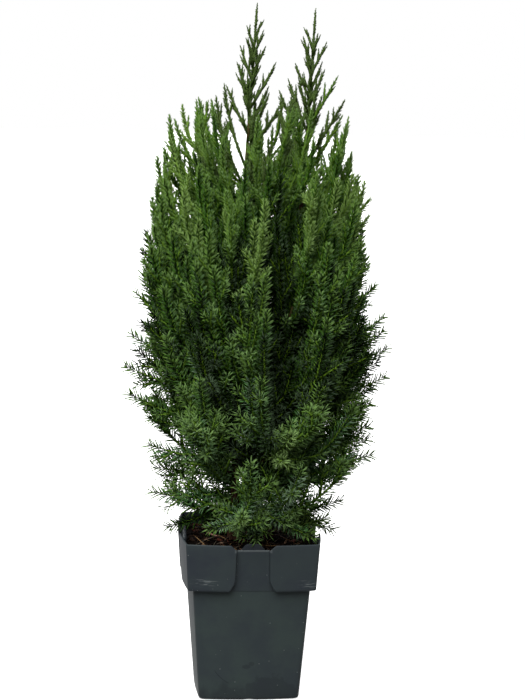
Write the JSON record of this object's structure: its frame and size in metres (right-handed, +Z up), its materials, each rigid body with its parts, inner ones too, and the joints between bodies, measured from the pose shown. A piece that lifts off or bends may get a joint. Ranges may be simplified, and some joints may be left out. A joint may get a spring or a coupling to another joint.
{
  "type": "potted chinese juniper",
  "caption": "Young upright Chinese juniper with two leaders and a dense crown of needle sprays, in a square grey plastic nursery pot filled with dark soil.",
  "frame": {"origin": "middle of the pot's flat underside", "axes": "+Z up along the stem, -Y towards the front, +X to the right seen from the front"},
  "size_m": [0.2583, 0.2439, 0.6742],
  "materials": {
    "pot_plastic": "satin, worn",
    "potting_soil": "rough, damp",
    "bark": "rough, fibrous",
    "foliage": "needles, slightly waxy"
  },
  "bodies": {
    "root": {"pot": "pot_plastic", "soil": "potting_soil", "trunk": "bark", "second_leader": "bark", "bough_high_1": "bark", "bough_high_2": "bark", "bough_high_3": "bark", "bough_high_4": "bark", "bough_high_5": "bark", "bough_upper_1": "bark", "bough_upper_2": "bark", "bough_upper_3": "bark", "bough_upper_4": "bark", "bough_upper_5": "bark", "bough_upper_6": "bark", "bough_middle_1": "bark", "bough_middle_2": "bark", "bough_middle_3": "bark", "bough_middle_4": "bark", "bough_middle_5": "bark", "bough_middle_6": "bark", "bough_low_1": "bark", "bough_low_2": "bark", "bough_low_3": "bark", "bough_low_4": "bark", "bough_low_5": "bark", "bough_low_6": "bark", "bough_skirt_1": "bark", "bough_skirt_2": "bark", "bough_skirt_3": "bark", "bough_skirt_4": "bark", "foliage_high_1": "foliage", "foliage_high_2": "foliage", "foliage_high_3": "foliage", "foliage_high_4": "foliage", "foliage_high_5": "foliage", "foliage_upper_1": "foliage", "foliage_upper_2": "foliage", "foliage_upper_3": "foliage", "foliage_upper_4": "foliage", "foliage_upper_5": "foliage", "foliage_upper_6": "foliage", "foliage_middle_1": "foliage", "foliage_middle_2": "foliage", "foliage_middle_3": "foliage", "foliage_middle_4": "foliage", "foliage_middle_5": "foliage", "foliage_middle_6": "foliage", "foliage_low_1": "foliage", "foliage_low_2": "foliage", "foliage_low_3": "foliage", "foliage_low_4": "foliage", "foliage_low_5": "foliage", "foliage_low_6": "foliage", "foliage_skirt_1": "foliage", "foliage_skirt_2": "foliage", "foliage_skirt_3": "foliage", "foliage_skirt_4": "foliage", "foliage_main_spire": "foliage", "foliage_second_spire": "foliage"}
  },
  "joints": []
}
